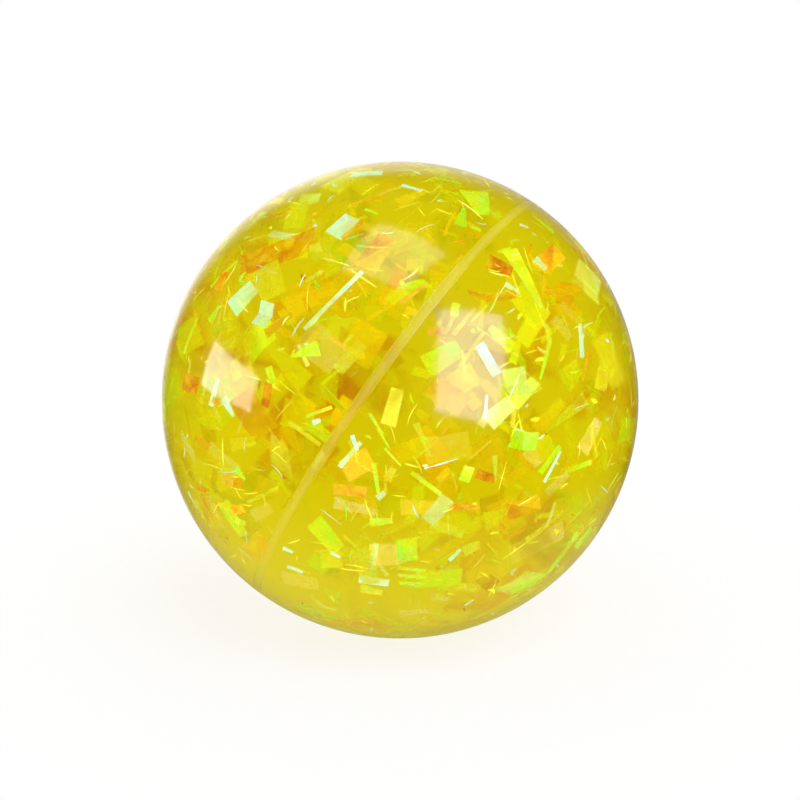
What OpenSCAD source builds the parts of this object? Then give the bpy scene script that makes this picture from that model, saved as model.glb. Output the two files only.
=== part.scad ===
// Clear rubber bouncy ball: two solid half-balls, a bead in the seam between them, and cut film cast inside.
// The origin is the ball's centre and +Z is up, as the ball lies with its seam leaning over.

/* [Ball] */
// Diameter of the ball
ball_d = 60; // [45:1:80]
// Rubber left over every piece of film
skin = 0.6; // [0.3:0.1:1.5]
// Lean of the seam's axis from upright, in degrees
seam_lean = 58.5; // [0:0.5:90]
// Turn of that lean about the upright axis, in degrees
seam_turn = 161.6; // [0:0.2:360]

/* [Seam] */
// Width of the bead at the ball's surface
seam_w = 1.1; // [0.6:0.1:2]
// Width of the bead at the bottom of its groove
seam_root_w = 0.5; // [0.3:0.1:1.5]
// Depth of the groove that the two chamfered rims make
seam_depth = 0.9; // [0.4:0.1:2]

/* [Film] */
// Thickness of the film
film_t = 0.12; // [0.08:0.01:0.25]
// Least rubber between two pieces of film
film_gap = 0.15; // [0.1:0.05:0.5]
// Length of a middling flake
flake_l = 5; // [3.5:0.5:7]
// Width of a middling flake
flake_w = 3.5; // [2:0.5:5]
// Length of a middling strip
strip_l = 4; // [2.5:0.5:6]
// Width of a middling strip
strip_w = 0.5; // [0.3:0.1:1]
// Number of places tried for the film that fills the ball behind the placed pieces
fill_places = 650; // [200:50:1000]
// Number of places tried for the small cuttings between those pieces
shred_places = 700; // [200:50:1200]

/* [Front view] */
// Height of the eye over the ball's middle, in degrees
eye_rise = 15; // [0:1:40]
// Distance of the eye, in ball radii
eye_share = 9.37; // [4:0.01:40]
// Refractive index of the rubber
rubber_index = 1.5; // [1.3:0.01:1.7]

/* [Hidden] */
$fn = 96;
// Facets round the ball's own circles
ball_facets = 240;
ball_r = ball_d / 2;
// How far a cutting shape runs past the surface that it cuts
overrun = 1;

// Sides of the seam, and the nine sets that the film is sorted into on each side
side_a = 1;
side_b = -1;
amber_flake = 0;
gold_flake = 1;
lime_flake = 2;
ice_flake = 3;
pearl_flake = 4;
amber_strip = 5;
gold_strip = 6;
lime_strip = 7;
ice_strip = 8;

rubber_colour = [0.87, 0.83, 0.14, 0.45];
bead_colour = [0.90, 0.82, 0.36];
film_colours = [
    [0.80, 0.43, 0.02], [0.97, 0.95, 0.10], [0.70, 0.95, 0.15], [0.80, 0.97, 0.90], [0.90, 0.82, 0.60],
    [0.72, 0.40, 0.02], [0.97, 0.92, 0.20], [0.66, 0.97, 0.20], [0.84, 0.98, 0.92]
];

// Placed film. Each row is [x, y, depth, long, wide, tip, tilt, roll, spin, bend]: x and y are the place in the
// front view and depth is how far along the bent line of sight, all as shares of the ball's radius. Long and wide
// are shares of a middling flake's or strip's size and tip is the far end's share of the width. Tilt turns the
// piece about its length, roll about its width, and spin in the front view. A bend over zero curls the piece
// through that angle, one under zero creases it across the middle, and zero leaves it flat.
amber_flake_shares = [
    [-0.52, 0.62, 0.13, 1.85, 0.95, 0.9, 15, 0, 12, 35],
    [-0.88, 0.07, 0.06, 0.60, 0.65, 0.9, -10, -25, -15, 0],
    [-0.51, 0.32, 0.11, 0.75, 0.55, 0.5, 45, 0, 35, 0],
    [-0.51, 0.78, 0.07, 0.60, 0.40, 0.6, 30, 0, 20, 0],
    [-0.56, 0.02, 0.06, 0.55, 0.35, 0.8, 25, 0, 80, 25],
    [-0.18, -0.27, 0.17, 0.70, 0.75, 0.9, 10, 10, 30, 0],
    [-0.21, -0.38, 0.05, 0.76, 0.36, 1.0, 8, 0, -4, 0],
    [-0.83, -0.37, 0.06, 0.50, 0.32, 0.4, 20, 0, -5, 0],
    [-0.83, -0.18, 0.06, 0.55, 0.28, 0.9, 20, 0, -20, 20],
    [-0.70, -0.34, 0.13, 0.65, 0.40, 0.8, 20, 0, -10, -25],
    [-0.68, -0.46, 0.12, 0.40, 0.35, 0.8, 0, 10, 15, 0],
    [0.39, 0.44, 0.13, 1.15, 0.70, 0.9, 62, 0, 4, 50],
    [0.42, 0.56, 0.10, 0.60, 0.60, 0.7, 10, 0, -20, 0],
    [0.05, 0.37, 0.06, 0.30, 0.32, 0.5, 0, 10, -20, 0],
    [0.15, 0.29, 0.07, 0.35, 0.30, 0.8, 20, 0, 5, 0],
    [0.64, 0.60, 0.26, 0.65, 0.65, 0.9, 10, 20, 40, 0],
    [0.62, 0.46, 0.09, 0.35, 0.30, 0.7, 10, 0, -15, 0],
    [0.36, -0.32, 0.16, 0.45, 0.35, 0.8, 20, 0, -20, 0],
    [-0.10, 0.62, 0.24, 0.90, 0.80, 0.8, 15, 0, 60, 0],
    [0.20, 0.02, 0.26, 0.90, 0.80, 0.9, 10, 15, -35, 0],
    [-0.60, -0.62, 0.20, 0.80, 0.70, 0.8, 0, 20, 50, 0],
    [0.52, -0.45, 0.22, 0.80, 0.60, 0.8, 20, 0, 10, 0],
    [-0.75, 0.50, 0.14, 0.50, 0.45, 0.8, 10, 20, 70, 0]
];
gold_flake_shares = [
    [-0.55, 0.50, 0.06, 0.90, 1.05, 0.8, 8, 0, -65, 0],
    [-0.74, 0.30, 0.06, 0.70, 0.55, 0.8, 20, 0, 12, 0],
    [-0.35, 0.62, 0.08, 0.50, 0.40, 0.7, 10, 0, -70, 40],
    [-0.30, 0.60, 0.10, 0.35, 0.32, 0.8, 0, 0, -40, 0],
    [-0.21, 0.18, 0.05, 0.85, 0.45, 0.9, 12, 0, 48, 0],
    [-0.18, 0.93, 0.04, 0.35, 0.35, 0.6, 0, 0, 10, 0],
    [-0.72, 0.23, 0.10, 0.60, 0.35, 0.8, 20, 0, 25, 50],
    [-0.77, -0.06, 0.07, 0.40, 0.32, 0.6, 10, 0, -40, 0],
    [-0.66, -0.18, 0.06, 0.70, 0.42, 0.7, 10, 0, 12, 0],
    [-0.03, -0.03, 0.09, 0.85, 0.52, 0.8, 10, 10, 75, 0],
    [-0.14, -0.70, 0.09, 1.00, 0.80, 0.7, 12, 0, -80, 0],
    [-0.12, -0.80, 0.06, 0.50, 0.40, 0.6, 0, 10, -10, 0],
    [-0.84, -0.46, 0.05, 0.50, 0.25, 0.8, 0, 0, -75, 0],
    [0.70, -0.06, 0.05, 1.30, 0.55, 0.15, 10, 0, 214, 0],
    [0.20, -0.54, 0.05, 0.80, 0.36, 0.8, 15, 0, -24, 0],
    [0.30, -0.62, 0.06, 0.42, 0.45, 0.7, 0, 0, 25, 0],
    [0.26, -0.78, 0.05, 0.80, 0.32, 0.8, 10, 0, -20, 30],
    [-0.04, -0.31, 0.06, 0.32, 0.28, 0.8, 0, 0, 60, 0],
    [0.61, -0.53, 0.04, 1.10, 0.26, 0.3, 10, 0, 33, 0],
    [0.85, 0.10, 0.12, 0.70, 0.60, 0.8, 10, 20, 80, 0],
    [0.05, 0.68, 0.22, 0.90, 0.85, 0.8, 10, 10, 15, 0]
];
lime_flake_shares = [
    [-0.78, 0.36, 0.04, 0.40, 0.30, 0.3, 10, 0, 50, 0],
    [-0.40, 0.20, 0.05, 0.70, 0.55, 0.1, 12, 0, 195, 0],
    [-0.58, 0.78, 0.03, 0.32, 0.32, 0.5, 0, 0, -30, 0],
    [-0.54, 0.10, 0.05, 0.45, 0.25, 0.6, 15, 0, -70, 30],
    [-0.08, -0.51, 0.05, 0.50, 0.32, 0.5, 15, 0, 5, 0],
    [-0.67, -0.51, 0.04, 0.30, 0.28, 0.7, 0, 0, -10, 0],
    [-0.34, -0.13, 0.09, 0.55, 0.45, 0.8, 15, 10, -35, 0],
    [-0.70, -0.50, 0.15, 0.90, 0.60, 0.8, 0, 0, -60, 0],
    [-0.67, -0.31, 0.06, 0.36, 0.28, 0.4, 10, 0, -50, 0],
    [0.52, -0.17, 0.07, 0.75, 0.60, 0.8, 15, 0, -8, -25],
    [0.03, -0.63, 0.06, 0.60, 0.70, 0.9, 10, 0, -85, 0],
    [0.33, 0.83, 0.04, 0.85, 1.10, 0.4, 0, -30, -80, 0],
    [0.53, 0.51, 0.04, 1.55, 0.60, 0.3, -30, -20, -60, 0],
    [0.26, 0.77, 0.05, 0.60, 0.45, 0.2, 0, 0, 75, 0],
    [0.60, 0.74, 0.04, 0.65, 0.28, 0.2, 10, 0, 140, 0],
    [0.80, 0.58, 0.02, 0.30, 0.22, 0.6, 0, 0, -50, 0],
    [0.68, -0.65, 0.03, 1.30, 0.25, 0.3, 10, 0, 62, 20],
    [0.77, -0.58, 0.05, 0.60, 0.45, 0.7, 10, 0, 45, 0],
    [0.28, -0.31, 0.10, 0.36, 0.36, 0.7, 10, 0, 70, 30],
    [0.54, -0.77, 0.07, 0.85, 0.36, 0.8, 15, 0, 15, 0],
    [0.23, 0.38, 0.05, 0.30, 0.30, 0.8, 0, 0, 80, 0],
    [0.18, 0.18, 0.24, 0.85, 0.75, 0.8, 15, 0, 30, 0],
    [-0.31, -0.57, 0.24, 0.85, 0.65, 0.8, 0, 15, -50, 0]
];
ice_flake_shares = [
    [-0.46, 0.69, 0.05, 1.10, 0.42, 0.3, 48, 0, -16, 25],
    [-0.66, 0.43, 0.05, 0.73, 0.80, 0.8, 10, 0, 42, 0],
    [-0.57, 0.36, 0.05, 0.70, 0.55, 0.5, 10, 0, 70, -35],
    [-0.24, 0.73, 0.05, 0.66, 0.72, 0.9, 12, 0, 52, 0],
    [-0.14, 0.95, 0.03, 0.75, 0.40, 0.9, 0, 0, -5, 0],
    [-0.72, -0.03, 0.05, 0.50, 0.32, 0.3, 10, 0, -55, 0],
    [-0.11, -0.76, 0.04, 0.68, 0.32, 0.9, 10, 0, -8, 0],
    [0.16, -0.46, 0.05, 0.90, 0.50, 0.8, 10, 0, 52, -40],
    [0.37, 0.17, 0.05, 0.80, 0.36, 0.2, 12, 0, -60, 20],
    [0.59, 0.57, 0.13, 0.36, 0.30, 0.7, 0, 0, -45, 0],
    [0.42, -0.05, 0.24, 0.70, 0.60, 0.8, 10, 10, 40, 0]
];
pearl_flake_shares = [
    [-0.33, 0.22, 0.13, 1.05, 1.15, 0.9, 8, 8, -38, 0],
    [-0.19, -0.45, 0.08, 0.95, 0.40, 0.7, 10, 0, -12, 0],
    [-0.06, -0.65, 0.12, 0.70, 0.85, 0.9, 0, 10, 5, 0],
    [-0.58, -0.47, 0.07, 0.60, 0.45, 0.8, 15, 0, 28, 0],
    [-0.42, -0.76, 0.12, 0.90, 0.62, 0.9, 10, 0, 0, 0],
    [-0.77, -0.48, 0.07, 0.90, 0.32, 0.7, 10, 0, -70, 0],
    [0.80, -0.15, 0.07, 0.85, 0.60, 0.7, 10, 15, 60, 0],
    [0.58, -0.60, 0.07, 1.40, 0.75, 0.8, 12, 0, 18, 20],
    [0.06, -0.89, 0.05, 0.70, 0.38, 0.7, 10, 0, 8, 0],
    [0.17, -0.83, 0.06, 0.45, 0.34, 0.7, 10, 0, -15, 0],
    [0.66, -0.35, 0.08, 0.70, 0.34, 0.8, 15, 0, 38, 0],
    [0.72, 0.36, 0.13, 0.70, 0.34, 0.8, 20, 0, -40, 0],
    [0.68, 0.30, 0.15, 0.60, 0.38, 0.8, 10, 0, -45, 0],
    [0.56, -0.24, 0.12, 0.50, 0.50, 0.6, 0, 0, -50, 0],
    [0.20, -0.20, 0.22, 1.00, 0.85, 0.9, 10, 0, 10, 0],
    [0.08, -0.45, 0.12, 0.80, 0.50, 0.8, 0, 10, 0, 0]
];
amber_strip_shares = [
    [-0.20, 0.71, 0.08, 0.76, 1.50, 1.0, 20, 0, 45, 0],
    [-0.26, 0.24, 0.05, 0.47, 1.00, 0.8, 0, 0, -39, 0],
    [-0.13, 0.84, 0.05, 1.05, 1.00, 0.5, 0, 0, 16, 20],
    [0.06, 0.45, 0.05, 1.00, 1.20, 0.8, 0, 0, 37, 0],
    [0.27, -0.45, 0.05, 0.90, 1.40, 0.9, 10, 0, -6, 0],
    [0.78, 0.14, 0.05, 0.85, 0.90, 0.8, 0, 0, 68, 0],
    [-0.81, -0.46, 0.07, 1.00, 0.80, 0.8, 0, 0, -83, 0],
    [-0.77, -0.01, 0.05, 0.36, 1.50, 0.7, 0, 0, -30, 0]
];
gold_strip_shares = [
    [-0.22, 0.25, 0.04, 0.40, 0.80, 0.8, 0, 0, 48, 0],
    [-0.36, 0.52, 0.05, 0.57, 1.00, 0.6, 0, 0, 33, 30],
    [-0.82, 0.06, 0.04, 1.05, 1.20, 0.7, 0, 0, 78, 0],
    [-0.40, -0.14, 0.04, 1.10, 1.10, 0.9, 0, 0, -35, 0],
    [-0.18, -0.24, 0.07, 0.60, 0.80, 0.8, 0, 0, -81, 0],
    [-0.20, -0.20, 0.09, 0.45, 0.80, 0.6, 0, 0, -68, 0],
    [-0.19, -0.93, 0.03, 1.10, 0.80, 0.5, 0, 0, -26, 0],
    [-0.19, -0.61, 0.04, 0.90, 0.70, 0.5, 0, 0, -45, 0],
    [-0.06, -0.33, 0.04, 0.80, 0.60, 0.8, 0, 0, 88, 0],
    [-0.58, -0.40, 0.05, 1.20, 0.70, 0.5, 0, 0, 28, 25],
    [0.10, -0.17, 0.05, 1.05, 1.50, 0.4, 10, 0, -66, 0],
    [0.48, -0.02, 0.05, 1.30, 1.25, 0.8, 10, 0, 84, 0],
    [0.40, -0.29, 0.06, 0.80, 1.20, 0.3, 0, 0, -85, 0],
    [0.22, 0.34, 0.05, 1.00, 1.00, 0.8, 0, 0, 63, 0],
    [0.27, 0.33, 0.05, 1.05, 1.10, 0.8, 0, 0, 51, 0],
    [0.17, 0.33, 0.08, 0.75, 1.00, 0.7, 0, 0, 61, 0],
    [0.30, 0.21, 0.05, 1.25, 1.00, 0.8, 0, 0, 54, 0],
    [0.56, 0.03, 0.05, 0.63, 0.80, 0.6, 0, 0, 27, 0],
    [0.48, 0.67, 0.07, 0.40, 0.80, 0.7, 0, 0, 14, 0],
    [0.08, -0.93, 0.04, 0.85, 0.60, 0.6, 0, 0, 40, 0],
    [0.39, -0.63, 0.04, 0.63, 0.60, 0.6, 0, 0, -52, 0],
    [0.88, -0.25, 0.03, 0.40, 0.70, 0.7, 0, 0, 60, 0],
    [0.29, 0.94, 0.02, 0.30, 1.00, 0.7, 0, 0, -20, 0],
    [0.23, -0.34, 0.05, 0.55, 0.60, 0.6, 0, 0, -75, 0],
    [0.61, 0.67, 0.04, 0.25, 1.10, 0.8, 0, 0, -40, 0],
    [0.03, 0.95, 0.03, 0.60, 0.80, 0.7, 0, 0, 38, 0]
];
lime_strip_shares = [
    [-0.74, 0.53, 0.04, 1.13, 1.00, 0.8, 0, 0, 36, 0],
    [-0.88, 0.27, 0.04, 1.13, 1.20, 0.6, 0, 0, 65, 0],
    [-0.26, 0.92, 0.03, 0.80, 0.80, 0.6, 0, 0, 12, 0],
    [-0.12, 0.79, 0.05, 0.45, 1.00, 0.4, 0, 0, -30, 0],
    [-0.34, -0.05, 0.05, 0.80, 0.80, 0.6, 0, 0, 20, 20],
    [-0.10, -0.10, 0.06, 0.70, 0.80, 0.6, 0, 0, -57, 0],
    [-0.03, -0.24, 0.05, 0.70, 0.60, 0.7, 0, 0, -48, 0],
    [-0.10, -0.33, 0.05, 0.90, 1.20, 0.6, 0, 0, -82, 0],
    [0.63, -0.25, 0.05, 0.95, 1.50, 0.8, 0, 0, 50, 0],
    [0.75, -0.28, 0.04, 1.00, 1.25, 0.7, 0, 0, 10, 40],
    [0.11, -0.35, 0.05, 1.05, 1.00, 0.6, 0, 0, -38, 25],
    [0.05, -0.71, 0.05, 0.80, 1.00, 0.8, 0, 0, -8, 0],
    [0.05, -0.74, 0.05, 0.80, 1.00, 0.9, 0, 0, -8, 0],
    [0.05, -0.77, 0.05, 0.75, 1.00, 0.8, 0, 0, -5, 0],
    [0.44, 0.63, 0.07, 0.50, 0.80, 0.8, 0, 0, 26, 0],
    [0.61, 0.17, 0.05, 1.20, 1.20, 0.5, 0, 0, 252, 0],
    [0.20, 0.92, 0.03, 0.85, 0.80, 0.6, 0, 0, -13, 0],
    [0.89, 0.23, 0.03, 0.80, 0.80, 0.6, 0, 0, 87, 0],
    [-0.07, -0.16, 0.05, 0.63, 0.70, 0.6, 0, 0, -60, 0],
    [0.32, 0.72, 0.04, 0.30, 1.00, 0.6, 0, 0, -20, 0]
];
ice_strip_shares = [
    [-0.36, 0.91, 0.03, 0.36, 1.00, 0.8, 0, 0, 88, 0],
    [-0.46, 0.84, 0.03, 0.32, 0.80, 0.8, 0, 0, 88, 0],
    [-0.78, 0.03, 0.03, 0.80, 1.50, 0.6, 0, 0, 70, 0],
    [-0.21, -0.23, 0.03, 0.92, 1.10, 0.9, 0, 0, 49, 0],
    [-0.19, -0.18, 0.05, 0.45, 1.00, 0.8, 0, 0, -72, 0],
    [-0.44, -0.71, 0.04, 0.50, 1.00, 0.8, 0, 0, -15, 60],
    [-0.47, -0.63, 0.04, 0.32, 1.10, 0.6, 0, 0, -20, 0],
    [-0.27, -0.65, 0.04, 0.30, 1.00, 0.6, 0, 0, -30, 0],
    [-0.35, -0.09, 0.04, 0.24, 1.20, 0.8, 0, 0, 20, 0],
    [-0.08, -0.40, 0.04, 0.28, 1.40, 0.8, 0, 0, 40, 0],
    [0.53, -0.14, 0.04, 0.75, 0.80, 0.8, 0, 0, -19, 0],
    [0.64, -0.28, 0.04, 1.00, 0.80, 0.8, 0, 0, 61, 0],
    [0.23, -0.65, 0.04, 0.47, 1.00, 0.8, 0, 0, 50, 0],
    [0.47, 0.47, 0.05, 0.45, 1.20, 0.6, 0, 0, -30, 0],
    [0.52, 0.73, 0.03, 0.30, 0.80, 0.8, 0, 0, -8, 0],
    [0.76, 0.25, 0.04, 1.00, 1.25, 0.9, 0, 0, 88, 0],
    [0.36, -0.03, 0.04, 0.70, 0.80, 0.8, 0, 0, 85, 0],
    [0.05, 0.89, 0.04, 0.65, 1.25, 0.5, 0, 0, -26, 0],
    [0.29, -0.85, 0.04, 0.32, 0.60, 0.8, 0, 0, 45, 0],
    [-0.28, 0.42, 0.05, 2.30, 1.00, 0.3, 0, 0, 46, 20],
    [-0.11, -0.66, 0.05, 0.90, 1.50, 0.8, 0, 0, 80, 0],
    [-0.87, -0.42, 0.03, 0.55, 1.00, 0.6, 0, 0, -55, 0]
];
placed_shares = [
    [amber_flake, amber_flake_shares], [gold_flake, gold_flake_shares], [lime_flake, lime_flake_shares],
    [ice_flake, ice_flake_shares], [pearl_flake, pearl_flake_shares], [amber_strip, amber_strip_shares],
    [gold_strip, gold_strip_shares], [lime_strip, lime_strip_shares], [ice_strip, ice_strip_shares]
];
// A placed piece that meets the skin, the seam or another piece goes deeper by this share of the radius, and so on
sink_share = 0.03;
sink_tries = 8;
// Room that the layout keeps for the film, as shares of the ball's radius. It is a little more than the film needs,
// so that the layout stays as it is while the sizes above change a little. Only then is film with no room left out.
room_flake_l_share = 0.190;
room_flake_w_share = 0.133;
room_strip_l_share = 0.153;
room_strip_w_share = 0.020;
room_film_t_share = 0.005;
room_gap_share = 0.006;
room_skin_share = 0.023;
room_seam_share = 0.045;

// Filling film: the share of each set among it, the range of its sizes, and how its angles and bends spread
set_shares = [0.18, 0.22, 0.18, 0.09, 0.13, 0.04, 0.07, 0.06, 0.03];
least_long_share = 0.55;
more_long_share = 0.60;
least_wide_share = 0.45;
more_wide_share = 0.55;
// Small cuttings: the same for them, which are all cut from the flakes, and how far out they lie
shred_set_shares = [0.14, 0.36, 0.24, 0.02, 0.24, 0, 0, 0, 0];
least_shred_long_share = 0.35;
more_shred_long_share = 0.60;
least_shred_wide_share = 0.14;
more_shred_wide_share = 0.30;
shred_out_share = 0.92;
least_tip_share = 0.4;
tilt_spread = 55;
roll_spread = 30;
curl_share = 0.3;
crease_share = 0.45;
least_bend = 15;
more_bend = 45;
// On the front, filling film starts at this depth, so that it lies behind the placed pieces
front_share = 0.15;
front_depth_share = 0.24;
// Steps of the sequences that spread the filling film evenly, the first being the golden angle
golden_angle = 137.508;
steps = [0.7549, 0.5698, 0.6711, 0.8192, 0.4656, 0.2912, 0.8813, 0.3319, 0.1532];

function part_of_one(value) = value - floor(value);
function spread(i, n) = part_of_one((i + 1) * steps[n]);

// The matrix that rotate(angles) applies
function turn_matrix(angles) =
    let (cx = cos(angles.x), sx = sin(angles.x))
    let (cy = cos(angles.y), sy = sin(angles.y))
    let (cz = cos(angles.z), sz = sin(angles.z))
    [
        [cz * cy, cz * sy * sx - sz * cx, cz * sy * cx + sz * sx],
        [sz * cy, sz * sy * sx + cz * cx, sz * sy * cx - cz * sx],
        [-sy, cy * sx, cy * cx]
    ];

seam_tilt = [0, seam_lean, seam_turn];
seam_axis = turn_matrix(seam_tilt) * [0, 0, 1];
front_tilt = [90 - eye_rise, 0, 0];
front_matrix = turn_matrix(front_tilt);
front_axis = front_matrix * [0, 0, 1];

// Where the line of sight at x and y meets a ball of radius 1, and its direction inside the rubber
edge_slope = 1 / sqrt(eye_share * eye_share - 1);
function sight(x, y) =
    let (eye = [0, 0, eye_share])
    let (slope = [x * edge_slope, y * edge_slope, -1])
    let (ray = slope / norm(slope))
    let (along = eye * ray)
    let (square_left = max(0, along * along - eye * eye + 1))
    let (entry = eye - (along + sqrt(square_left)) * ray)
    let (cosine = -(ray * entry))
    let (ratio = 1 / rubber_index)
    let (bent_cosine = sqrt(1 - ratio * ratio * (1 - cosine * cosine)))
    [entry, ratio * ray + (ratio * cosine - bent_cosine) * entry];

function is_strip(set) = set >= amber_strip;
function arc_radius(l, bend) = l * 180 / (PI * bend);

// Two sets of sizes: the film as it is cut, and the room that the layout keeps for it. Each is
// [flake length, flake width, strip length, strip width, thickness, gap, skin, seam width].
cut_sizes = [flake_l, flake_w, strip_l, strip_w, film_t, film_gap, skin, seam_w];
room_sizes = ball_r * [
    room_flake_l_share, room_flake_w_share, room_strip_l_share, room_strip_w_share,
    room_film_t_share, room_gap_share, room_skin_share, room_seam_share
];
function length_of(set, long, sizes) = long * (is_strip(set) ? sizes[2] : sizes[0]);
function width_of(set, wide, sizes) = wide * (is_strip(set) ? sizes[3] : sizes[1]);

// Half the run and half the rise of a bent piece, and with its width the half sizes of the box that holds it
function half_run(l, t, bend) =
    bend > 0 ? arc_radius(l, bend) * sin(bend / 2) + t : l / 2 * cos(bend);
function half_rise(l, t, bend) =
    bend > 0 ? (arc_radius(l, bend) * (1 - cos(bend / 2)) + t) / 2 : (l / 2 * sin(-bend) + t / cos(bend)) / 2;
function half_box(set, shape, sizes) =
    let (l = length_of(set, shape[0], sizes), w = width_of(set, shape[1], sizes), t = sizes[4])
    [half_run(l, t, shape[3]), w / 2, half_rise(l, t, shape[3])];
function turned_over(m) = [for (i = [0:2]) [for (j = [0:2]) m[j][i]]];

// One piece of film: [set, middle, frame, own angles, shape, box axes, half box as cut, half box of its room, and
// the half diagonals of the two], where shape is [long share, wide share, tip share, bend]
function piece(set, middle, frame, own, shape) =
    let (cut = half_box(set, shape, cut_sizes), room = half_box(set, shape, room_sizes))
    [
        set, middle, frame, own, shape, turned_over(turn_matrix(frame) * turn_matrix(own)),
        cut, room, norm(cut), norm(room)
    ];
as_cut = 6;
as_room = 7;
function diagonal(p, kind) = p[kind + 2];
function middle(p) = p[1];
function axes(p) = p[5];
function side_of(p) = middle(p) * seam_axis > 0 ? side_a : side_b;
function sizes_along(v) = [abs(v.x), abs(v.y), abs(v.z)];

// How far a piece's box reaches from its middle along a unit direction
function reach(p, kind, direction) = p[kind] * sizes_along(axes(p) * direction);
function under_skin(p, kind, sizes) = norm(sizes_along(axes(p) * middle(p)) + p[kind]) <= ball_r - sizes[6];
function off_seam(p, kind, sizes) =
    abs(middle(p) * seam_axis) >= reach(p, kind, seam_axis) + sizes[7] / 2 + sizes[5];
// True if one of the first box's axes passes between the two boxes
function split_by(p, q, kind, gap, line, i) =
    i < 3 && (
        abs(line * axes(p)[i]) > p[kind][i] + reach(q, kind, axes(p)[i]) + gap
        || split_by(p, q, kind, gap, line, i + 1)
    );
function apart(p, q, kind, gap) =
    let (line = middle(q) - middle(p), far = norm(line))
    far > diagonal(p, kind) + diagonal(q, kind) + gap
    || (far > 0 && (
        split_by(p, q, kind, gap, line, 0) || split_by(q, p, kind, gap, line, 0)
        || far > reach(p, kind, line / far) + reach(q, kind, line / far) + gap
    ));
function clear_of(p, kept, kind, gap, i) =
    i < 0 || (apart(p, kept[i], kind, gap) && clear_of(p, kept, kind, gap, i - 1));
function fits(p, kept, kind, sizes) =
    under_skin(p, kind, sizes) && off_seam(p, kind, sizes) && clear_of(p, kept, kind, sizes[5], len(kept) - 1);

function placed_piece(set, row, sunk) =
    let (line = sight(row[0], row[1]))
    let (depth = row[2] + sunk * sink_share)
    piece(
        set, front_matrix * (line[0] + depth * line[1]) * ball_r, front_tilt, [row[6], row[7], row[8]],
        [row[3], row[4], row[5], row[9]]
    );
function sunk_piece(set, row, kept, sunk) =
    let (p = placed_piece(set, row, sunk))
    fits(p, kept, as_room, room_sizes) ? [p] : sunk < sink_tries ? sunk_piece(set, row, kept, sunk + 1) : [];
function place_rows(rows, kept, i) =
    i == len(rows) ? kept
        : place_rows(rows, concat(kept, sunk_piece(rows[i][0], rows[i][1], kept, 0)), i + 1);
placed_rows = [for (set = placed_shares) for (row = set[1]) [set[0], row]];
placed_film = place_rows(placed_rows, [], 0);

function shares_up_to(shares, n) = n < 0 ? 0 : shares[n] + shares_up_to(shares, n - 1);
function fill_set(shares, value) =
    min(len([for (n = [amber_flake:ice_strip]) if (value > shares_up_to(shares, n)) n]), ice_strip);
function fill_bend(value, size) =
    value < curl_share ? least_bend + more_bend * size
        : value < crease_share ? -least_bend - more_bend * size : 0;

// Two lots of filling film: [places, first draw, set shares, least and more of length and width, how far out]
large_lot = [
    fill_places, 0, set_shares, least_long_share, more_long_share, least_wide_share, more_wide_share, 1
];
small_lot = [
    shred_places, fill_places, shred_set_shares, least_shred_long_share, more_shred_long_share,
    least_shred_wide_share, more_shred_wide_share, shred_out_share
];
function fill_piece(lot, i) =
    let (draw = lot[1] + i)
    let (polar = acos(1 - (2 * i + 1) / lot[0]))
    let (azimuth = golden_angle * i)
    let (far = ball_r * (1 - room_skin_share) * lot[7] * pow(spread(draw, 0), 1 / 3))
    let (own = [
        tilt_spread * (2 * spread(draw, 2) - 1), roll_spread * (2 * spread(draw, 3) - 1), 360 * spread(draw, 4)
    ])
    piece(
        fill_set(lot[2], spread(draw, 1)),
        far * [sin(polar) * cos(azimuth), sin(polar) * sin(azimuth), cos(polar)], [0, polar, azimuth], own,
        [
            lot[3] + lot[4] * spread(draw, 5), lot[5] + lot[6] * spread(draw, 6),
            least_tip_share + (1 - least_tip_share) * spread(draw, 7), fill_bend(spread(draw, 8), spread(draw, 5))
        ]
    );
function behind_front(p) =
    middle(p) * front_axis < front_share * ball_r || norm(middle(p)) < (1 - front_depth_share) * ball_r;
function fill_room(lot, i, kept) =
    i == lot[0] ? kept
        : let (p = fill_piece(lot, i), takes = behind_front(p) && fits(p, kept, as_room, room_sizes))
        fill_room(lot, i + 1, takes ? concat(kept, [p]) : kept);
layout = fill_room(small_lot, 0, fill_room(large_lot, 0, placed_film));

// The layout's film that the cut sizes leave room for, which is all of it where none is over the room's size
function cut_film(i, kept) =
    i == len(layout) ? kept
        : cut_film(i + 1, fits(layout[i], kept, as_cut, cut_sizes) ? concat(kept, [layout[i]]) : kept);
film = min(room_sizes - cut_sizes) >= 0 ? layout : cut_film(0, []);
function on_side(side) = [for (p = film) if (side_of(p) == side) p];

module flat_film(l, w, tip) {
    linear_extrude(film_t, center = true)
        polygon([[-l / 2, -w / 2], [l / 2, -w * tip / 2], [l / 2, w * tip / 2], [-l / 2, w / 2]]);
}

module curled_film(l, w, bend) {
    radius = arc_radius(l, bend);
    rotate([0, 0, 90])
        rotate([0, -90, 0])
            translate([-radius * (1 + cos(bend / 2)) / 2, 0, 0])
                rotate_extrude(angle = bend, start = -bend / 2)
                    translate([radius, 0])
                        square([film_t, w], center = true);
}

module creased_film(l, w, crease) {
    run = l / 2 * cos(crease);
    rise = l / 4 * sin(crease);
    drop = film_t / cos(crease) / 2;
    rotate([90, 0, 0])
        linear_extrude(w, center = true)
            polygon([
                [-run, -rise - drop], [0, rise - drop], [run, -rise - drop],
                [run, -rise + drop], [0, rise + drop], [-run, -rise + drop]
            ]);
}

module film_piece(p) {
    l = length_of(p[0], p[4][0], cut_sizes);
    w = width_of(p[0], p[4][1], cut_sizes);
    tip = p[4][2];
    bend = p[4][3];
    translate(middle(p))
        rotate(p[2])
            rotate(p[3])
                if (bend > 0) curled_film(l, w, bend);
                else if (bend < 0) creased_film(l, w, -bend);
                else flat_film(l, w, tip);
}

module film_set(set, side) {
    color(film_colours[set])
        for (p = on_side(side)) if (p[0] == set) film_piece(p);
}

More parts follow.
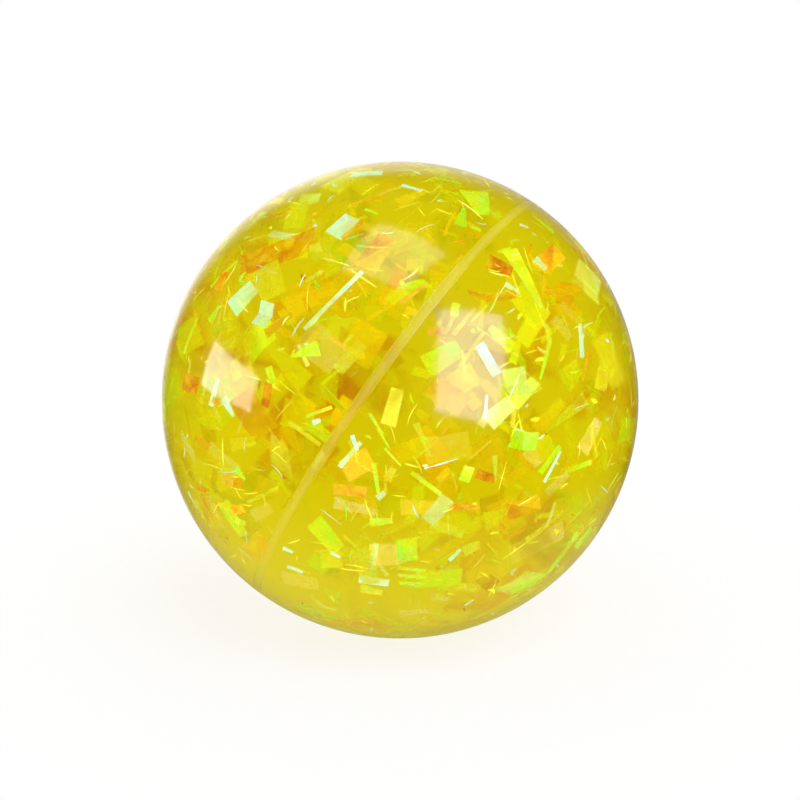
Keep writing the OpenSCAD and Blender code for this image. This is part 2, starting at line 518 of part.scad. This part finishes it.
// The groove's outline on one side of the seam, and its flank carried on past the surface
flank_slope = (seam_w - seam_root_w) / 2 / seam_depth;
module groove_outline() {
    polygon([
        [ball_r - seam_depth, 0], [ball_r - seam_depth, seam_root_w / 2],
        [ball_r + overrun, seam_w / 2 + overrun * flank_slope], [ball_r + overrun, 0]
    ]);
}

module quarter_outline() {
    intersection() {
        circle(ball_r, $fn = ball_facets);
        square(ball_r + overrun);
    }
}

// Half of the ball with its rim chamfered for the bead, seam downwards
module plain_half() {
    rotate_extrude($fn = ball_facets)
        difference() {
            quarter_outline();
            groove_outline();
        }
}

module half_a() {
    color(rubber_colour)
        difference() {
            rotate(seam_tilt) plain_half();
            for (p = on_side(side_a)) film_piece(p);
        }
}

module half_b() {
    color(rubber_colour)
        difference() {
            rotate(seam_tilt) mirror([0, 0, 1]) plain_half();
            for (p = on_side(side_b)) film_piece(p);
        }
}

module seam_bead() {
    color(bead_colour)
        rotate(seam_tilt)
            rotate_extrude($fn = ball_facets)
                intersection() {
                    circle(ball_r, $fn = ball_facets);
                    union() {
                        groove_outline();
                        mirror([0, 1]) groove_outline();
                    }
                }
}

half_a();
half_b();
seam_bead();
film_set(amber_flake, side_a);  // amber_flakes_a
film_set(gold_flake, side_a);  // gold_flakes_a
film_set(lime_flake, side_a);  // lime_flakes_a
film_set(ice_flake, side_a);  // ice_flakes_a
film_set(pearl_flake, side_a);  // pearl_flakes_a
film_set(amber_strip, side_a);  // amber_strips_a
film_set(gold_strip, side_a);  // gold_strips_a
film_set(lime_strip, side_a);  // lime_strips_a
film_set(ice_strip, side_a);  // ice_strips_a
film_set(amber_flake, side_b);  // amber_flakes_b
film_set(gold_flake, side_b);  // gold_flakes_b
film_set(lime_flake, side_b);  // lime_flakes_b
film_set(ice_flake, side_b);  // ice_flakes_b
film_set(pearl_flake, side_b);  // pearl_flakes_b
film_set(amber_strip, side_b);  // amber_strips_b
film_set(gold_strip, side_b);  // gold_strips_b
film_set(lime_strip, side_b);  // lime_strips_b
film_set(ice_strip, side_b);  // ice_strips_b
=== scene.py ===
"""The looks of a clear yellow bouncy ball with cut iridescent film cast inside it."""
import math
import random

import bpy
import numpy as np
from mathutils import Matrix, Vector


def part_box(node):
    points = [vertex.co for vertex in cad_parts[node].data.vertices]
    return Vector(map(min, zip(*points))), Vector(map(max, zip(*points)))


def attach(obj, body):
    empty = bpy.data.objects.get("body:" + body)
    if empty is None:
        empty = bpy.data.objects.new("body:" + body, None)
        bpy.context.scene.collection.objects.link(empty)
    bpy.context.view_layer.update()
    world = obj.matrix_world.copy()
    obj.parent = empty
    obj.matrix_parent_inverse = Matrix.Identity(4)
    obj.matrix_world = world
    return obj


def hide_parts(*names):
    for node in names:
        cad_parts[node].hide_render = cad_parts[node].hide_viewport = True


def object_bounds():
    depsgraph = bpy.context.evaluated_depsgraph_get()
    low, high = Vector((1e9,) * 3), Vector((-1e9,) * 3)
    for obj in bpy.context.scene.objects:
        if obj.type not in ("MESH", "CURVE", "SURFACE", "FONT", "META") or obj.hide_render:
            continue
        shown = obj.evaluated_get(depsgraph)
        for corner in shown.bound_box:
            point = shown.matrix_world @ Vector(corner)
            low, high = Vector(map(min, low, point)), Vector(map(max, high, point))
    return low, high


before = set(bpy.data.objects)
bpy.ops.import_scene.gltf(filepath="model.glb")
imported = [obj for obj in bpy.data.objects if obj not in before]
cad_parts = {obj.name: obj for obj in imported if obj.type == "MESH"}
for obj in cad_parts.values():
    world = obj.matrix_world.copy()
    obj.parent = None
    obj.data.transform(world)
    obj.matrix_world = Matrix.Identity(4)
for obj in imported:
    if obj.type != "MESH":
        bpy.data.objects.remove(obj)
CAD_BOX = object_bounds()

MM = 0.001
BODY = "root"
CENTRE = (CAD_BOX[0] + CAD_BOX[1]) / 2
RADIUS = min(CAD_BOX[1] - CAD_BOX[0]) / 2

# The photograph's line of sight: height over the ball's middle in degrees, and distance in ball radii
EYE_RISE = math.radians(15.0)
EYE_DISTANCE = 9.37
LENS = 100.0
SENSOR = 36.0
NEAR_CLIP = 0.01
TO_EYE = Vector((0, -math.cos(EYE_RISE), math.sin(EYE_RISE)))
EYE_RIGHT = Vector((1, 0, 0))
EYE_UP = Vector((0, math.sin(EYE_RISE), math.cos(EYE_RISE)))

# The seam's groove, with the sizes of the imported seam_bead
SEAM_WIDTH = 1.1 * MM
SEAM_ROOT = 0.5 * MM
SEAM_DEPTH = 0.9 * MM
TURN_STEPS = 360

WHITE = (1, 1, 1, 1)


def seam_normal():
    """The axis of the seam's ring, on half_a's side."""
    points = np.array([v.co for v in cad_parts["seam_bead"].data.vertices])
    points = points - points.mean(axis=0)
    axis = Vector(np.linalg.svd(points, full_matrices=False)[2][2])
    low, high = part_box("half_a")
    return axis if axis.dot((low + high) / 2 - CENTRE) > 0 else -axis


SEAM_AXIS = seam_normal()
TO_SEAM = SEAM_AXIS.to_track_quat("Z", "Y").to_matrix().to_4x4()


# Tools for the camera, the lamps, the meshes and the materials
def link(obj):
    bpy.context.scene.collection.objects.link(obj)
    return obj


class Nodes:
    """Adds nodes to a tree and links them in one call."""

    def __init__(self, tree):
        self.tree = tree
        tree.nodes.clear()

    def add(self, kind, settings=None, **inputs):
        """A node with its inputs set. An input is named by its label, or by _ and its number."""
        node = self.tree.nodes.new("ShaderNode" + kind)
        for name, value in (settings or {}).items():
            setattr(node, name, value)
        for name, value in inputs.items():
            key = int(name[1:]) if name[0] == "_" else name.replace("_", " ")
            self.put(node.inputs[key], value)
        return node

    def put(self, socket, value):
        if isinstance(value, bpy.types.NodeSocket):
            self.tree.links.new(value, socket)
        else:
            socket.default_value = value

    def math(self, operation, a, b=0.0, clamp=False):
        node = self.add("Math", {"operation": operation, "use_clamp": clamp}, _0=a, _1=b)
        return node.outputs[0]

    def vector_math(self, operation, a, b=(0, 0, 0)):
        """The outputs Vector and Value of a step in vector arithmetic."""
        return self.add("VectorMath", {"operation": operation}, _0=a, _1=b).outputs

    def mix(self, factor, a, b):
        """A colour between a and b."""
        return self.add("Mix", {"data_type": "RGBA"}, _0=factor, _6=a, _7=b).outputs[2]

    def mix_shader(self, factor, a, b):
        return self.add("MixShader", None, _0=factor, _1=a, _2=b).outputs[0]

    def span(self, value, low, high, to_low=0.0, to_high=1.0):
        """The value, led smoothly from the span low to high to another span."""
        settings = {"interpolation_type": "SMOOTHSTEP"}
        node = self.add("MapRange", settings, _0=value, _1=low, _2=high, _3=to_low, _4=to_high)
        return node.outputs[0]

    def noise(self, vector, scale, detail=2.0, distortion=0.0):
        node = self.add("TexNoise", None, Vector=vector, Scale=scale, Detail=detail, Distortion=distortion)
        return node.outputs["Fac"]

    def own_place(self):
        """The point on the surface, in the object's own frame."""
        return self.add("TexCoord").outputs["Object"]

    def bump(self, height, strength, distance):
        return self.add("Bump", None, Strength=strength, Distance=distance, Height=height).outputs[0]

    def open_to_light(self, shader):
        """The shader, but with lamp light passing through it."""
        clear = self.add("BsdfTransparent").outputs[0]
        shadow_ray = self.add("LightPath").outputs["Is Shadow Ray"]
        return self.mix_shader(shadow_ray, shader, clear)

    def ramp(self, factor, stops):
        node = self.add("ValToRGB", None, Fac=factor)
        elements = node.color_ramp.elements
        for _ in stops[2:]:
            elements.new(0.5)
        for element, (place, colour) in zip(elements, stops):
            element.position = place
            element.color = (*colour, 1.0)
        return node.outputs["Color"]


def new_material(name):
    made = bpy.data.materials.new(name)
    made.use_nodes = True
    return made, Nodes(made.node_tree)


# The camera, at the photograph's angle
def make_camera():
    data = bpy.data.cameras.new("camera")
    data.lens = LENS
    data.sensor_width = SENSOR
    data.sensor_fit = "HORIZONTAL"
    data.clip_start = NEAR_CLIP
    camera = link(bpy.data.objects.new("camera", data))
    camera.location = CENTRE + TO_EYE * EYE_DISTANCE * RADIUS
    camera.rotation_euler = TO_EYE.to_track_quat("Z", "Y").to_euler()
    bpy.context.scene.camera = camera
    bpy.context.scene.view_settings.view_transform = "Standard"


make_camera()

# The room that the gloss shows: a white backdrop behind the ball, a dim room in front, brighter on the left
BACKDROP_FROM = 0.83
ROOM_GLOW = 0.02
BACKDROP_GLOW = 0.85
LEFT_FROM = -0.3
LEFT_WHOLE = 0.2
LEFT_RISE = 0.15
RIGHT_SHARE = 0.5
LEFT_SHARE = 1.5
ROOM_COLOUR = (1.0, 0.90, 0.74, 1)
AMBIENT = 0.7


def make_world():
    """White to the camera and through the rubber, the room to the gloss, and an even light for the rest."""
    world = bpy.data.worlds.new("studio")
    bpy.context.scene.world = world
    world.use_nodes = True
    n = Nodes(world.node_tree)
    path = n.add("LightPath").outputs
    toward = n.add("TexCoord").outputs["Generated"]
    heading = n.add("SeparateXYZ", None, Vector=toward).outputs
    to_upper_left = n.math("SUBTRACT", n.math("MULTIPLY", heading["Z"], LEFT_RISE), heading["X"])
    backdrop = n.span(heading["Y"], BACKDROP_FROM, 1.0, ROOM_GLOW, BACKDROP_GLOW)
    share = n.span(to_upper_left, LEFT_FROM, LEFT_WHOLE, RIGHT_SHARE, LEFT_SHARE)
    room = n.math("MULTIPLY", backdrop, share)
    reflected = n.add("Background", None, Color=ROOM_COLOUR, Strength=room).outputs[0]
    ambient = n.add("Background", None, Color=WHITE, Strength=AMBIENT).outputs[0]
    white = n.add("Background", None, Color=WHITE, Strength=1.0).outputs[0]
    seen = n.math("MAXIMUM", path["Is Camera Ray"], path["Is Transmission Ray"])
    other = n.mix_shader(path["Is Glossy Ray"], ambient, reflected)
    n.add("OutputWorld", None, Surface=n.mix_shader(seen, other, white))


make_world()

# The floor: its disc, where it fades into the background, and how white or dim it is to a line of sight
FLOOR_RADIUS = 0.60
FLOOR_SIDES = 96
FLOOR_GAP = 0.02 * MM
FADE_FROM = 0.025
FADE_TO = 0.075
FLOOR_PAINTS = ((0.93, 0.93, 0.93, 1), (0.96, 0.96, 0.96, 1))
WHITE_SHARE = 0.78
# The floor's painted reflection in the ball's gloss: its share, colour and strength
PAINTED_FLOOR_REFLECTION_SHARE = 0.8
PAINTED_FLOOR_REFLECTION_COLOUR = (1.0, 0.90, 0.32, 1)
PAINTED_FLOOR_REFLECTION_GLOW = 0.42


def make_floor():
    """A round white floor that fades into the background, with the ball's shadow on it."""
    ring = []
    for side in range(FLOOR_SIDES):
        angle = 2 * math.pi * side / FLOOR_SIDES
        ring.append((FLOOR_RADIUS * math.cos(angle), FLOOR_RADIUS * math.sin(angle), 0))
    mesh = bpy.data.meshes.new("floor")
    mesh.from_pydata(ring, [], [list(range(FLOOR_SIDES))])
    floor = link(bpy.data.objects.new("floor", mesh))
    floor.location = (CENTRE.x, CENTRE.y, CAD_BOX[0].z - FLOOR_GAP)
    material, n = new_material("floor_white")
    coordinates = n.own_place()
    away = n.vector_math("LENGTH", coordinates)["Value"]
    paint = n.mix(n.noise(coordinates, 900.0), *FLOOR_PAINTS)
    matt = n.add("BsdfDiffuse", None, Color=paint, Roughness=0.6).outputs[0]
    # A white floor to the camera and through the rubber, on which the ball's shadow stays
    path = n.add("LightPath").outputs
    seen = n.math("MAXIMUM", path["Is Camera Ray"], path["Is Transmission Ray"])
    white = n.add("Emission", None, Color=WHITE, Strength=1.0).outputs[0]
    lit = n.mix_shader(n.math("MULTIPLY", seen, WHITE_SHARE), matt, white)
    # Painted reflection: to the ball's gloss the floor is a dim yellow glow, standing for the dim room in
    # front of the ball and the yellow light that the ball throws on the floor
    glossy = n.math("SUBTRACT", path["Is Glossy Ray"], path["Is Transmission Ray"], clamp=True)
    painted_floor_reflection = n.add("Emission", None, Color=PAINTED_FLOOR_REFLECTION_COLOUR, Strength=PAINTED_FLOOR_REFLECTION_GLOW).outputs[0]
    lit = n.mix_shader(n.math("MULTIPLY", glossy, PAINTED_FLOOR_REFLECTION_SHARE), lit, painted_floor_reflection)
    clear = n.add("BsdfTransparent").outputs[0]
    n.add("OutputMaterial", None, Surface=n.mix_shader(n.span(away, FADE_FROM, FADE_TO), lit, clear))
    mesh.materials.append(material)


make_floor()

# How far off a lamp stands, unless it is a near one
FAR_LAMP = 0.9


def softbox(name, heading, size, power, roll=0.0, near=None, colour=(1, 1, 1), lights_matt=False):
    """An area lamp that shows in the ball's gloss. Its heading is right of, above and towards the camera.

    near is its distance from the place on the ball that mirrors it. Without it, the lamp stands far off."""
    data = bpy.data.lights.new(name, "AREA")
    data.shape = "RECTANGLE"
    data.size, data.size_y = size
    data.color = colour
    # An area lamp's power that gives it this radiance
    data.energy = power * math.pi * size[0] * size[1]
    lamp = link(bpy.data.objects.new(name, data))
    right, up, towards = heading
    direction = (EYE_RIGHT * right + EYE_UP * up + TO_EYE * towards).normalized()
    mirror = RADIUS * (direction + TO_EYE).normalized()
    lamp.location = CENTRE + (mirror + direction * near if near else direction * FAR_LAMP)
    facing = direction.to_track_quat("Z", "Y").to_matrix()
    lamp.rotation_euler = (facing @ Matrix.Rotation(math.radians(roll), 3, "Z")).to_euler()
    lamp.visible_camera = False
    lamp.visible_transmission = False
    lamp.visible_diffuse = lights_matt
    lamp.visible_glossy = not lights_matt


softbox("box_right", (0.54, 0.27, 0.80), (0.50, 0.80), 6.5, roll=-20.0, colour=(0.66, 0.50, 1.0))
# Near the ball, so that it doesn't flare along the rim when seen from the opposite side
softbox("box_left", (-0.99, 0.12, 0.02), (0.083, 0.035), 5.5, near=0.12)
softbox("box_top", (-0.05, 0.95, 0.33), (0.48, 0.46), 2.2, colour=(1.0, 0.92, 0.9))
softbox("fill", (0.35, 0.52, 0.75), (0.60, 0.60), 2.85, lights_matt=True)


# The rubber: its light bending and its colour, and how far its skin lies inside the CAD's box
RUBBER_IOR = 1.5
RUBBER_COLOUR = (0.957, 0.931, 0.01, 1)
RUBBER_DENSITY = 130.0
SKIN_INSET = 0.005 * MM
# The line of relief at each edge of the seam: its depth, and its half width in degrees
RELIEF_DEPTH = 0.020 * MM
RELIEF_WIDTH = 0.07
# How far from the seam's plane the finely ground band is whole, and where it ends, in widths of the seam
BAND_WHOLE = 0.34
BAND_END = 0.50


def revolve(name, outline, closed):
    """A mesh of (distance along the seam's axis, distance from it) turned about that axis."""
    rows = []
    points = []
    for along, out in outline:
        if out < 1e-9:
            rows.append([len(points)])
            points.append((0, 0, along))
            continue
        rows.append(list(range(len(points), len(points) + TURN_STEPS)))
        for i in range(TURN_STEPS):
            angle = 2 * math.pi * i / TURN_STEPS
            points.append((out * math.cos(angle), out * math.sin(angle), along))
    pairs = list(zip(rows, rows[1:]))
    if closed:
        pairs.append((rows[-1], rows[0]))
    faces = []
    for a, b in pairs:
        for i in range(TURN_STEPS):
            j = (i + 1) % TURN_STEPS
            if len(a) == 1:
                faces.append((a[0], b[i], b[j]))
            elif len(b) == 1:
                faces.append((a[i], b[0], a[j]))
            else:
                faces.append((a[i], b[i], b[j], a[j]))
    mesh = bpy.data.meshes.new(name)
    mesh.from_pydata(points, [], faces)
    mesh.transform(Matrix.Translation(CENTRE) @ TO_SEAM)
    mesh.update()
    mesh.shade_smooth()
    return link(bpy.data.objects.new(name, mesh))


def ball_outline():
    """Rings from pole to pole, close together at the band, with the relief at each of its edges."""
    edge = math.degrees(SEAM_WIDTH / 2 / RADIUS)
    near = [0, edge * 0.45, edge * 0.8, edge - 0.10, edge - 0.05, edge]
    near += [edge + beyond for beyond in (0.05, 0.10, 0.2, 0.45, 0.8)]
    far = [edge + 1.5 + i for i in range(int(90 - edge - 1.5))] + [90]
    tilts = sorted([-t for t in near[1:] + far] + near + far, reverse=True)
    outline = []
    for tilt in tilts:
        off_edge = (abs(tilt) - edge) / RELIEF_WIDTH
        depth = RELIEF_DEPTH * math.exp(-off_edge * off_edge)
        reach = RADIUS - SKIN_INSET - depth
        a = math.radians(tilt)
        outline.append((reach * math.sin(a), 0.0 if abs(tilt) == 90 else reach * math.cos(a)))
    return outline


def rubber_material():
    """Clear rubber with a yellow body, smears in its polish and a finely ground band over the seam."""
    material, n = new_material("clear_yellow_rubber")
    coordinates = n.own_place()
    off_seam = n.math("ABSOLUTE", n.vector_math("DOT_PRODUCT", coordinates, tuple(SEAM_AXIS))["Value"])
    band = n.span(off_seam, BAND_WHOLE * SEAM_WIDTH, BAND_END * SEAM_WIDTH, 1.0, 0.0)
    smears = n.span(n.noise(coordinates, 60.0, 3.0, 0.6), 0.4, 0.75, 0.09, 0.12)
    ground = n.span(n.noise(coordinates, 240.0), 0.3, 0.7, 0.18, 0.23)
    rough = n.add("Mix", {"data_type": "FLOAT"}, _0=band, _2=smears, _3=ground).outputs[0]
    ripple = n.bump(n.noise(coordinates, 110.0), 0.03, 0.0004)
    gloss = n.add("BsdfPrincipled", None, Base_Color=WHITE, Roughness=rough, IOR=RUBBER_IOR,
                  Transmission_Weight=1.0, Normal=ripple).outputs[0]
    body = n.add("VolumeAbsorption", None, Color=RUBBER_COLOUR, Density=RUBBER_DENSITY).outputs[0]
    n.add("OutputMaterial", None, Surface=n.open_to_light(gloss), Volume=body)
    return material


def seam_material():
    """Milky rubber that lets most of the light through."""
    material, n = new_material("milky_seam_rubber")
    cloud = n.noise(n.own_place(), 160.0)
    milk = n.mix(cloud, (0.90, 0.80, 0.14, 1), (0.98, 0.90, 0.28, 1))
    skin = n.add("BsdfPrincipled", None, Base_Color=milk, Roughness=0.5, IOR=RUBBER_IOR, Alpha=0.07)
    n.add("OutputMaterial", None, Surface=skin.outputs[0])
    return material


ball = revolve("ball_rubber", ball_outline(), closed=False)
ball.data.materials.append(rubber_material())
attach(ball, BODY)
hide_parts("half_a", "half_b")

band_top = RADIUS - 0.06 * MM
band_root = RADIUS - SEAM_DEPTH
band_outline = [(-SEAM_WIDTH / 2, band_top), (0, band_top + 0.01 * MM), (SEAM_WIDTH / 2, band_top),
                (SEAM_ROOT / 2, band_root), (-SEAM_ROOT / 2, band_root)]
band = revolve("seam_band", band_outline, closed=True)
band.data.materials.append(seam_material())
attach(band, BODY)
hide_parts("seam_bead")


# The film's colours, as stops along a ramp of each tint
TINTS = {
    "amber": [(0.0, (0.56, 0.13, 0.002)), (0.3, (0.82, 0.28, 0.003)), (0.5, (0.96, 0.56, 0.008)),
              (0.75, (1.0, 0.82, 0.03)), (1.0, (1.0, 0.62, 0.12))],
    "gold": [(0.0, (0.88, 0.73, 0.005)), (0.3, (0.93, 0.90, 0.01)), (0.65, (0.85, 0.94, 0.04)),
             (1.0, (0.68, 0.96, 0.05))],
    "lime": [(0.0, (0.40, 1.0, 0.24)), (0.3, (0.60, 1.0, 0.02)), (0.7, (0.88, 1.0, 0.02)),
             (1.0, (0.46, 1.0, 0.40))],
    "ice": [(0.0, (0.48, 0.96, 0.72)), (0.3, (0.60, 0.96, 0.92)), (0.6, (0.78, 0.95, 1.0)),
            (1.0, (0.64, 0.84, 1.0))],
    "spark": [(0.0, (0.74, 1.0, 0.03)), (0.3, (1.0, 1.0, 0.06)), (0.65, (1.0, 1.0, 0.20)),
              (0.85, (0.92, 1.0, 0.60)), (1.0, (0.60, 1.0, 0.45))],
    "pearl": [(0.0, (0.84, 0.67, 0.08)), (0.35, (0.90, 0.80, 0.28)), (0.7, (0.92, 0.88, 0.48)),
              (1.0, (0.90, 0.74, 0.64))],
}
# Painted light: film deep in the ball is coloured in light cloudy yellows, standing for the yellow glow of
# the ball's body, with a share of its tint
PAINTED_BODY_YELLOWS = [(0.0, (0.91, 0.68, 0.008)), (0.3, (0.93, 0.79, 0.01)), (0.5, (0.93, 0.88, 0.012)),
          (0.75, (0.91, 0.94, 0.02)), (1.0, (0.84, 0.96, 0.03))]
# In ball radii, where film begins to be deep and where it is fully deep, and its share of painted cloudy
# yellows there
DEEP_FROM = 0.88
DEEP_WHOLE = 0.66
DEEP_SHARE = 0.85
# The least that a face of deep film covers, as a share of its painted cloudy yellows
DEEP_COVER = 0.42
# How strongly the painted highlights of the pale streaks show in each tint
PAINTED_STREAK_HIGHLIGHTS = {"amber": 0.12, "gold": 0.40, "lime": 0.35, "ice": 0.20, "pearl": 0.25, "spark": 0.20}
# The strength of the painted shade in the dim streaks, and the colour of the painted highlights
PAINTED_STREAK_SHADE = 0.30
PAINTED_HIGHLIGHT_COLOUR = (0.94, 1.0, 0.45, 1)
# Painted glow: a light of its own on the amber, ice, lime and spark film, standing for the backlight that
# film passes on to the eye, and shown in the dark too: its colour and strength
PAINTED_GLOW = {"amber": ((1.0, 0.30, 0.0, 1), 0.07), "ice": ((0.42, 0.73, 1.0, 1), 0.40),
         "lime": ((0.30, 1.0, 0.01, 1), 0.14), "spark": ((1.0, 1.0, 0.14, 1), 0.30)}
# How much of what lies behind it each face of the film covers, at its faintest and at its fullest
COVER = {"amber": (0.38, 0.75), "gold": (0.12, 0.62), "lime": (0.20, 0.70), "ice": (0.28, 0.72),
         "pearl": (0.10, 0.36), "spark": (0.25, 0.68)}


def film_material(tint):
    """Dichroic film: its colour runs along the tint's ramp, from piece to piece and within each piece, with
    painted light and shade on it.
    """
    material, n = new_material("film_" + tint)
    coordinates = n.own_place()
    piece = n.add("NewGeometry").outputs["Random Per Island"]
    drift = n.noise(coordinates, 420.0, 3.0, 1.6)
    place = n.math("ADD", n.math("MULTIPLY", piece, 0.70), n.math("MULTIPLY", drift, 1.3))
    colour = n.ramp(n.math("SUBTRACT", place, 0.50, clamp=True), TINTS[tint])
    out = n.vector_math("LENGTH", coordinates)["Value"]
    deep = n.span(out, DEEP_WHOLE * RADIUS, DEEP_FROM * RADIUS, DEEP_SHARE, 0.0)
    shallow = n.math("SUBTRACT", 1.0, deep)
    # Painted light: the cloudy yellows of the ball's glowing body, laid on deep film
    cloud = n.ramp(n.span(n.noise(coordinates, 85.0, 2.0, 0.5), 0.36, 0.66), PAINTED_BODY_YELLOWS)
    colour = n.mix(deep, colour, cloud)
    # Fine streaks in the film, along a direction of each piece's own: painted highlights on its ridges and
    # painted shade in its folds
    turned = n.add("VectorRotate", {"rotation_type": "AXIS_ANGLE"}, Vector=coordinates,
                   Axis=(0.3, 0.5, 0.8), Angle=n.math("MULTIPLY", piece, 40.0)).outputs[0]
    drawn = n.vector_math("MULTIPLY", turned, (1.0, 1.0, 0.10))["Vector"]
    streak_light_and_shade = n.noise(drawn, 1900.0, 2.0, 0.3)
    painted_streak_highlight = n.span(streak_light_and_shade, 0.54, 0.68, 0.0, PAINTED_STREAK_HIGHLIGHTS[tint])
    painted_streak_shade = n.span(streak_light_and_shade, 0.46, 0.34, 0.0, PAINTED_STREAK_SHADE)
    # Painted highlights along the pale streaks, and painted shade along the dim ones, on film near the skin
    colour = n.mix(n.math("MULTIPLY", painted_streak_highlight, shallow), colour, PAINTED_HIGHLIGHT_COLOUR)
    colour = n.mix(n.math("MULTIPLY", painted_streak_shade, shallow), colour, cloud)
    # Crumples in its gloss, and thin places that let the ball's colour through
    crumple = n.noise(coordinates, 380.0, 2.0, 0.5)
    rough = n.span(crumple, 0.3, 0.7, 0.20, 0.32)
    metal = n.span(deep, 0.0, DEEP_SHARE, 0.25, 0.0)
    cover = n.span(n.noise(coordinates, 350.0, 1.5), 0.38, 0.60, *COVER[tint])
    cover = n.math("MAXIMUM", cover, n.math("MULTIPLY", deep, DEEP_COVER))
    skin = n.add("BsdfPrincipled", None, Base_Color=colour, Metallic=metal, Roughness=rough,
                 Normal=n.bump(crumple, 0.25, 0.0006), IOR=1.5, Alpha=cover)
    # A painted glow on some tints, standing for backlight through the film
    if tint in PAINTED_GLOW:
        painted_glow_colour, strength = PAINTED_GLOW[tint]
        n.put(skin.inputs["Emission Color"], painted_glow_colour)
        n.put(skin.inputs["Emission Strength"], strength)
    n.add("OutputMaterial", None, Surface=n.open_to_light(skin.outputs[0]))
    return material


FILM = {tint: film_material(tint) for tint in TINTS}
for name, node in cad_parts.items():
    tint = name.split("_")[0]
    if tint in FILM:
        node.data.materials.clear()
        node.data.materials.append(FILM[tint])
        weld = node.modifiers.new("weld", "WELD")
        weld.merge_threshold = 0.001 * MM


# Fine cuttings of the film: their half thickness, and how far they keep from the seam's plane and the skin
HALF_FILM = 0.012 * MM
OFF_SEAM = 0.7 * MM
OFF_SKIN = 0.35 * MM
# The cross-sections that a sliver is drawn through, and the corners of each: its side and its face
SECTIONS = 4
CORNERS = ((-1, -1), (1, -1), (1, 1), (-1, 1))


def shreds(name, tint, seed, count, lengths, widths, shell, tilt):
    """Thin curved slivers, spread through a shell of the ball, with lengths and widths in millimetres."""
    draw = random.Random(seed)
    points = []
    faces = []
    made = 0
    while made < count:
        heading = Vector((draw.gauss(0, 1), draw.gauss(0, 1), draw.gauss(0, 1))).normalized()
        out = RADIUS * (draw.uniform(shell[0] ** 3, shell[1] ** 3)) ** (1 / 3)
        length = draw.uniform(*lengths) * MM
        width = draw.uniform(*widths) * MM
        if abs(heading.dot(SEAM_AXIS)) * out < OFF_SEAM + length / 2:
            continue
        turn = (heading.to_track_quat("Z", "Y").to_matrix()
                @ Matrix.Rotation(draw.uniform(0, 2 * math.pi), 3, "Z")
                @ Matrix.Rotation(math.radians(draw.gauss(0, tilt)), 3, "Y")
                @ Matrix.Rotation(math.radians(draw.uniform(-60, 60)), 3, "X"))
        sag = length * draw.uniform(-0.07, 0.07)
        sway = width * draw.uniform(-0.8, 0.8)
        start = len(points)
        for section in range(SECTIONS):
            t = section / (SECTIONS - 1)
            taper = 1.0 - 0.75 * abs(2 * t - 1) ** draw.uniform(1.5, 4.0)
            bow = 4 * t * (1 - t)
            for side, face in CORNERS:
                across = side * width / 2 * taper + sway * bow
                own = Vector((length * (t - 0.5), across, sag * bow + face * HALF_FILM))
                place = heading * out + turn @ own
                if place.length > RADIUS - OFF_SKIN:
                    place = place.normalized() * (RADIUS - OFF_SKIN + face * HALF_FILM)
                points.append(CENTRE + place)
        for section in range(SECTIONS - 1):
            a = start + 4 * section
            for k in range(4):
                m = (k + 1) % 4
                faces.append((a + k, a + 4 + k, a + 4 + m, a + m))
        end = start + 4 * (SECTIONS - 1)
        faces.append((start, start + 1, start + 2, start + 3))
        faces.append((end + 3, end + 2, end + 1, end))
        made += 1
    mesh = bpy.data.meshes.new(name)
    mesh.from_pydata(points, [], faces)
    mesh.update()
    mesh.materials.append(FILM[tint])
    piece = link(bpy.data.objects.new(name, mesh))
    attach(piece, BODY)


# Lengths, widths, the shell in ball radii, and how far the pieces tilt in degrees
NEEDLES = ((1.0, 4.2), (0.06, 0.24), (0.86, 0.978), 8)
CHIPS = ((0.35, 1.6), (0.15, 0.6), (0.84, 0.975), 25)
# Each tint's number of needles and of chips
COUNTS = {"spark": (380, 140), "lime": (300, 120), "ice": (120, 70), "pearl": (50, 70), "amber": (60, 50)}
NEEDLE_SEED = 10
CHIP_SEED = 20
for number, (tint, (needles, chips)) in enumerate(COUNTS.items()):
    shreds("needles_" + tint, tint, NEEDLE_SEED + number, needles, *NEEDLES)
    shreds("chips_" + tint, tint, CHIP_SEED + number, chips, *CHIPS)
